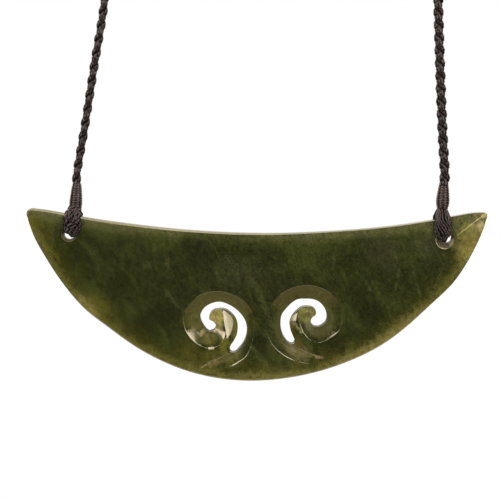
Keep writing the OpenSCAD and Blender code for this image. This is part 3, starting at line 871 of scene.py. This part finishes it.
# %% The cord's middle line
cord_route = [
    (-47.29, -131, -186.7), (-47, -131, -182.9), (-46.8, -131, -179.5), (-44.8, -130.7, -168),
    (-42.3, -129.7, -152), (-39.8, -128, -136), (-39, -125.3, -120), (-39.8, -121, -104),
    (-42.5, -114, -85), (-47, -103.5, -66), (-52, -89, -48.5), (-55.5, -70, -33),
    (-55.5, -49.5, -20.5), (-50.5, -29, -11), (-40, -13, -5), (-24.5, -2.8, -1.5), (0, 1.2, 0),
    (24.5, -2.8, -1.5), (40, -13, -5), (50.5, -29, -11), (55.5, -49.5, -20.5), (56, -70, -33),
    (54.3, -89, -48.5), (51.5, -103.5, -66), (49, -114, -85), (47.6, -121, -104),
    (47.2, -125.3, -120), (47.3, -128, -136), (47.7, -129.7, -152), (48.3, -130.7, -168),
    (48.95, -131, -179.5), (48.85, -131, -182.9), (48.6, -131, -186.7)]


def even_line(points, step):
    """The same line with its points an even step apart, and its length."""
    lengths = [0]
    for a, b in zip(points, points[1:]):
        lengths.append(lengths[-1] + (b - a).length)
    count = round(lengths[-1] / step)
    line, i = [], 0
    for k in range(count + 1):
        s = min(lengths[-1], lengths[-1] * k / count)
        while i < len(points) - 2 and lengths[i + 1] < s:
            i += 1
        line.append(points[i].lerp(points[i + 1], (s - lengths[i]) / (lengths[i + 1] - lengths[i])))
    return line, lengths[-1]


RING = 0.42  # how far apart the rings of a strand are
cord_line, cord_length = even_line(through_table(cord_route, 30), RING)
print("the cord is", round(cord_length), "mm long")

# %% Sides for the middle line


def carried_sides(line, first):
    """A direction square to the line at each point, carried along it without twisting."""
    runs = [(b - a).normalized() for a, b in zip(line, line[1:])]
    runs.append(runs[-1])
    side = first - first.dot(runs[0]) * runs[0]
    sides = [side.normalized()]
    for before, run in zip(runs, runs[1:]):
        side = before.rotation_difference(run) @ sides[-1]
        sides.append((side - side.dot(run) * run).normalized())
    return runs, sides


forward = Vector((0, -1, 0))
runs, sides = carried_sides(cord_line, forward)
wanted = (forward - forward.dot(runs[-1]) * runs[-1]).normalized()
miss = math.atan2(sides[-1].cross(wanted).dot(runs[-1]), sides[-1].dot(wanted))
print("carried round the neck, the front turns by", round(math.degrees(miss)), "degrees")

# %% Rolling up a strand


def roll_up(bm, line, outs, wide, thick, sides, closed=False):
    """A flat grid rolled up round a line. Its long way across is square to the given outs."""
    rings = len(line) - 1
    made = bmesh.ops.create_grid(bm, x_segments=rings, y_segments=sides, size=1, calc_uvs=True)["verts"]
    frames = []
    for k, (here, out) in enumerate(zip(line, outs)):
        before = line[k - 1] if k else line[-2 if closed else 0]
        after = line[k + 1] if k < rings else line[1 if closed else -1]
        run = (after - before).normalized()
        out = (out - out.dot(run) * run).normalized()
        frames.append((here, run.cross(out), out))
    rows = []
    for v in made:
        k = round((v.co.x + 1) / 2 * rings)
        rows.append(k)
        turn = math.pi * (v.co.y + 1)
        here, across, out = frames[k]
        v.co = here + across * (wide[k] * math.cos(turn)) + out * (thick[k] * math.sin(turn))
    return zip(made, rows)


def close_up(bm):
    """Merge the seams of all the rolled-up grids, and cap their open ends."""
    bmesh.ops.remove_doubles(bm, verts=bm.verts, dist=0.0002)
    bmesh.ops.holes_fill(bm, edges=[e for e in bm.edges if e.is_boundary], sides=0)
    bmesh.ops.recalc_face_normals(bm, faces=bm.faces)


# %% The four strands
# Each pair is for the left and the right end of the cord, in millimetres.
TURN = (7.4, 6.6)  # the length of a strand's full turn
CENTRE = (0.45, 0.53)  # from the cord's middle line to a strand's own
SWING = (0.33, 0.4)  # how far that swings in and out
WIDE, THICK = (0.72, 0.86), (0.45, 0.53)  # half a strand's width and thickness
REACH = (1.24, 1.48)  # from the cord's middle line to its outside
SPREAD = 0.14  # what a strand gains in half width where it lies on the outside


def strand(bm, kind, proud):
    """Roll up one strand: 0 and 1 wind one way, and 2 and 3 the other.

    proud is the layer that keeps how far each point stands out from the middle, up to about 1. It is kept lower
    for the two strands that lie on top in front, so that their edges sink into the painted shade of the gaps."""
    line, outs, wide, thick, reach = [], [], [], [], []
    way = -1 if kind < 2 else 1
    angle, last = 0, len(cord_line) - 1
    for k, (middle_point, run, side) in enumerate(zip(cord_line, runs, sides)):
        share = k / last
        turn, centre, swing, half_width, half_thickness, full = (
            left + (right - left) * share for left, right in (TURN, CENTRE, SWING, WIDE, THICK, REACH))
        angle += 2 * math.pi * RING / turn
        hidden = min(1, max(0, (share - 0.3) / 0.4))
        lay = (miss + math.pi / 2) * hidden * hidden * (3 - 2 * hidden)
        outside = way * math.cos(2 * angle)
        theta = -way * angle + math.pi * kind + lay
        out = side * math.cos(theta) + run.cross(side) * math.sin(theta)
        line.append(middle_point + out * (centre + swing * outside))
        outs.append(out)
        wide.append(half_width + SPREAD * max(0, outside))
        thick.append(half_thickness)
        over_in_front = (kind < 2) == (share > 0.5)
        reach.append(full * (1.12 if over_in_front else 0.95))
    for v, k in roll_up(bm, line, outs, wide, thick, 10):
        v[proud] = (v.co - cord_line[k]).length / reach[k]


bm = bmesh.new()
bm.loops.layers.uv.new("along")
proud = bm.verts.layers.float.new("proud")
for kind in range(4):
    strand(bm, kind, proud)
close_up(bm)
bmesh.ops.translate(bm, vec=-TIP_LINE, verts=bm.verts)
plait = place_piece(bm, "plait", sharp=80)

# %% [markdown]
# Wax makes the strands shine, and dust and wear leave patches of them lighter. The backs of the strands are
# painted lighter than their flanks, as painted light and shade, and what lies deep between two strands is
# painted nearly black, so a matte shader is mixed in there as painted shade.

# %% The finish of the plait


def painted_shade_gaps(shader, share):
    """Mix a dark, matte shader in where the share is 1, as painted shade."""
    gap = Value.node("BsdfPrincipled", {}, {"Base Color": (0.0022, 0.0014, 0.0015, 1), "Roughness": 0.9,
                                            "Specular IOR Level": 0.05})
    mixed = Value.node("MixShader", {}, {0: share, 1: Value(shader.outputs[0]), 2: gap})
    feed(Value.tree.nodes["Material Output"], {"Surface": mixed})


WAX = {"Specular IOR Level": 0.36, "Specular Tint": (0.72, 0.74, 1, 1)}
waxed_plait, shader = new_finish("waxed_plait")
place = millimetres()
u, v, _ = parts_of(Value.node("UVMap", {"uv_map": "along"}, {}))
fibre = cloud(place, 0.6, 2, 0.5, 0.4)
worn = cloud(place, 2.2, 3, 0.6)
ply = (v * (2 * math.pi * 6) + u * 2600).wave()
tone = blend(fibre.rise(0.35, 0.7), (0.0026, 0.0014, 0.0016), (0.0095, 0.0058, 0.0064))
tone = blend(worn.rise(0.48, 0.7) * 0.4, tone, (0.026, 0.017, 0.0185))
stands_out = Value.node("Attribute", {"attribute_name": "proud"}, {}, out=2)
# The crests of the strands are painted lighter and their flanks darker: painted light and shade.
crest = (v * (2 * math.pi)).wave().rise(-0.5, 0.8, 0.3, 1.15) * stands_out.rise(0.8, 1.05, 0.7, 1.35)
on_right = parts_of(place)[0] > 0
feed(shader, {"Base Color": scaled(tone, crest * on_right.pick(0.68, 1)), "Roughness": 0.24 + 0.2 * fibre,
              "Normal": bump(fibre + ply * 0.3, 0.7, 0.0001), **WAX})
# Deep between the strands a dark matte shader is mixed in as painted shade.
painted_shade_gaps(shader, stands_out.fall(0.45, 0.75))

# %% [markdown]
# ## The whippings
#
# Each end of the plait is whipped: one waxed thread is wound round it in close turns. A ring that is spun
# round an axis and pushed along it at the same time makes that screw. The turns are then pressed to the
# whipping's own shape, fuller at the bottom and drawn in at the top.

# %% Winding a whipping
# [height, radius] of the outside, from the bottom up
shape_left = [(0, 1.5), (0.5, 1.66), (1.8, 1.74), (3.6, 1.62), (5.4, 1.42), (6.8, 1.15)]
shape_right = [(0, 1.3), (1.1, 1.66), (2.6, 1.84), (4.8, 1.6), (6.4, 1.36), (7.4, 1.14)]
WOUND_AT = 2  # the radius at which the screw is spun, before its turns are pressed in
TURN_STEPS = 30


def radius_at(shape, height):
    rows = through_table(shape, 8)
    height = min(rows[-1][0], max(0, height))
    for low, high in zip(rows, rows[1:]):
        if height <= high[0]:
            return low[1] + (high[1] - low[1]) * (height - low[0]) / (high[0] - low[0])
    return rows[-1][1]


def whipping(name, shape, foot, top_x, turns):
    high = shape[-1][0]
    pitch = high / (turns + 0.6)
    thread = pitch * 0.62
    bm = bmesh.new()
    upright = Matrix.Translation((WOUND_AT, 0, thread)) @ Matrix.Rotation(math.pi / 2, 4, "X")
    ring = bmesh.ops.create_circle(bm, radius=thread, segments=8, matrix=upright)
    edges = list({e for v in ring["verts"] for e in v.link_edges})
    bmesh.ops.contextual_create(bm, geom=edges)
    grown = bmesh.ops.spin(bm, geom=ring["verts"] + edges, cent=(0, 0, 0), axis=(0, 0, 1),
                           dvec=(0, 0, pitch / TURN_STEPS), angle=2 * math.pi * turns,
                           steps=round(TURN_STEPS * turns))
    bmesh.ops.contextual_create(bm, geom=[e for e in grown["geom_last"] if isinstance(e, bmesh.types.BMEdge)])
    for v in bm.verts:
        out = Vector((v.co.x, v.co.y, 0))
        v.co += out.normalized() * (radius_at(shape, v.co.z) - (WOUND_AT + thread))
    # The core inside the turns is what shows between them.
    profile = [(0, -0.25)] + [(r - 0.14, h) for h, r in through_table(shape, 4)] + [(0, high + 0.05)]
    corners = [bm.verts.new((r, 0, h)) for r, h in profile]
    edges = [bm.edges.new(pair) for pair in zip(corners, corners[1:])]
    bmesh.ops.spin(bm, geom=corners + edges, cent=(0, 0, 0), axis=(0, 0, 1), angle=2 * math.pi,
                   steps=32, use_merge=True)
    bmesh.ops.remove_doubles(bm, verts=bm.verts, dist=0.0001)
    bmesh.ops.recalc_face_normals(bm, faces=bm.faces)
    lean = math.atan2(top_x - foot[0], high)
    bmesh.ops.rotate(bm, matrix=Matrix.Rotation(lean, 3, "Y"), verts=bm.verts)
    bmesh.ops.translate(bm, vec=(foot[0], 0, foot[1]), verts=bm.verts)
    return place_piece(bm, name, sharp=60)


whipping_left = whipping("wound_whipping_left", shape_left, (-47.35, 0.4), -46.9, 14.5)
whipping_right = whipping("wound_whipping_right", shape_right, (48.4, 0.1), 48.8, 16.5)

# %% [markdown]
# ## The thread loops
#
# Below each whipping the bare threads fan out, go down in front of the stone's top edge, together through
# the hole and up behind it. Each thread has a row of its own: on the right they lie side by side, and on
# the left they cross each other and make a lumpy bundle.

# %% The threads' tables
FACE_Y = FACE - 0.5  # where the lowest threads lie, in front of the face
# [x at the rim, x half way down, x at the hole, x inside it, z where it turns in, how far it lies out]
threads_of_left = [
    (-49.7, -49.1, -47.4, -48, -6.4, 0.45), (-48.8, -47.6, -46.5, -47.8, -6.3, 0.35),
    (-47, -48.6, -49.4, -49.2, -5.5, 0.85), (-46.2, -47.1, -48.5, -48.8, -5.7, 0.9),
    (-49.6, -49.8, -49.7, -49.3, -5.5, 0), (-46.3, -46.1, -46.4, -47.8, -6.2, 0),
    (-48.2, -48.3, -48.2, -48.5, -6.2, 0.1), (-47.4, -46.9, -47.2, -48.1, -6.5, 0.1)]
threads_of_right = [
    (46.5, 46.2, 46.5, 48.5, -7.3, 0), (46.6, 46.5, 47.2, 48.8, -7.7, 0.1),
    (46.8, 47.2, 48.3, 49, -7.9, 0.25), (47.1, 48, 49.1, 49.1, -7.8, 0.35),
    (47.6, 48.8, 49.6, 49.2, -7.4, 0.4), (48.3, 49.6, 50, 49.3, -7.1, 0.3),
    (49.2, 50.2, 50.1, 49.4, -6.8, 0.1), (50.1, 50.4, 50, 49.5, -6.4, -0.1),
    (49.8, 49.9, 49.3, 49.1, -7, -0.15)]

# %% Winding the thread loops


def thread_row(row, tie_x, tie_z, rim_z, mouth_z):
    """The closed path of one thread, from inside its whipping round the rim and through the hole."""
    rim_x, half_x, low_x, in_x, in_z, out = row
    front_y = FACE_Y - out * 0.8
    fan = rim_x - tie_x
    down = [(tie_x + fan * 0.35, -0.3, tie_z + 0.9), (tie_x + fan * 0.66, -1 - out * 0.4, tie_z - 0.15),
            (tie_x + fan * 0.93, -2.2 - out * 0.7, (tie_z + rim_z) / 2 - 0.15), (rim_x, front_y, rim_z),
            (half_x, front_y, (rim_z + mouth_z) / 2), (low_x, front_y, mouth_z),
            ((low_x + in_x) / 2, front_y + 0.5, (mouth_z + in_z) / 2 - 0.1), (in_x, FACE_Y + 1.5, in_z)]
    return down + [(in_x, 0, in_z)] + [(px, -py, pz) for px, py, pz in reversed(down)]


def thread_loop(name, table, tie_x, tie_z, rim_z, mouth_z, thick, sway, ends=()):
    """A bundle of threads. sway is how far each one snakes from side to side, in millimetres."""
    bm = bmesh.new()
    bm.loops.layers.uv.new("along")
    for number, row in enumerate(table):
        line = [v.copy() for v in through_table(thread_row(row, tie_x, tie_z, rim_z, mouth_z), 10, closed=True)]
        for point in line:
            turn = 2.1 * number + 4.6 * point.z
            point.x += sway * math.sin(turn)
            point.y += math.copysign(sway * (1 + math.cos(turn)), point.y)
        line.append(line[0].copy())
        radii = [thick] * len(line)
        roll_up(bm, line, [Vector((1, 0, 0))] * len(line), radii, radii, 8, closed=True)
    for end in ends:
        line = through_table(end, 6)
        taper = [thick * (0.6 - 0.35 * k / len(line)) for k in range(len(line))]
        roll_up(bm, line, [Vector((0, 0.1, 1))] * len(line), taper, taper, 8)
    close_up(bm)
    return place_piece(bm, name, sharp=80)


stub = [(-47, -1.2, 0.9), (-46.2, -1.3, 0.4), (-45.6, -1.25, 0.25)]
loop_left = thread_loop("threads_left", threads_of_left, -47.4, 0.4, -1.9, -5, 0.46, 0.2, [stub])
loop_right = thread_loop("threads_right", threads_of_right, 48.4, 0.1, -2.4, -5.9, 0.35, 0.04)

# %% The finish of the threads
waxed_thread, shader = new_finish("waxed_thread")
place = millimetres()
fibre = cloud(place, 0.22, 3, 0.6, 0.5)
lumps = cloud(place, 0.75, 2, 0.6, 0.5)
tone = blend(lumps.rise(0.4, 0.66), (0.003, 0.0017, 0.0018), (0.022, 0.0145, 0.016))
tone = blend(fibre.rise(0.4, 0.7) * 0.4, tone, (0.02, 0.0135, 0.0145))
wound = parts_of(place)[2].rise(-190.3, -189.3)  # 1 on the whippings, and 0 on the loops below them
round_thread = parts_of(Value.node("UVMap", {"uv_map": "along"}, {}))[1]
outer = (round_thread * (2 * math.pi) + math.pi / 2).wave()
feed(shader, {
    "Base Color": scaled(tone, wound.pick(1.2, 0.75)), "Normal": bump(fibre * 0.5 + lumps, 0.7, 0.00012),
    "Roughness": (0.2 + 0.16 * fibre) * wound.pick(0.8, 1), "Coat Weight": wound * 0.16,
    "Coat Roughness": 0.16, **WAX})
# The sides of each thread get painted shade; the whippings get none.
painted_shade_gaps(shader, abs(outer).fall(0.3, 0.92))

# %% [markdown]
# ## Putting the pieces in the frame
#
# Every piece rides on the necklace's one body, stands for its plain solid and gets its finish.

# %% Ride, replace and finish
for piece, solids, slot, finish in (
        (breastplate, ("breastplate",), "greenstone", nephrite),
        (plait, ("plaited_cord_left", "plaited_cord_right"), "waxed_plait", waxed_plait),
        (whipping_left, ("whipping_left",), "waxed_thread", waxed_thread),
        (whipping_right, ("whipping_right",), "waxed_thread", waxed_thread),
        (loop_left, ("thread_loop_left",), "waxed_thread", waxed_thread),
        (loop_right, ("thread_loop_right",), "waxed_thread", waxed_thread)):
    piece.data.materials.append(finish)
    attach(piece, "root")
    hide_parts(*solids)
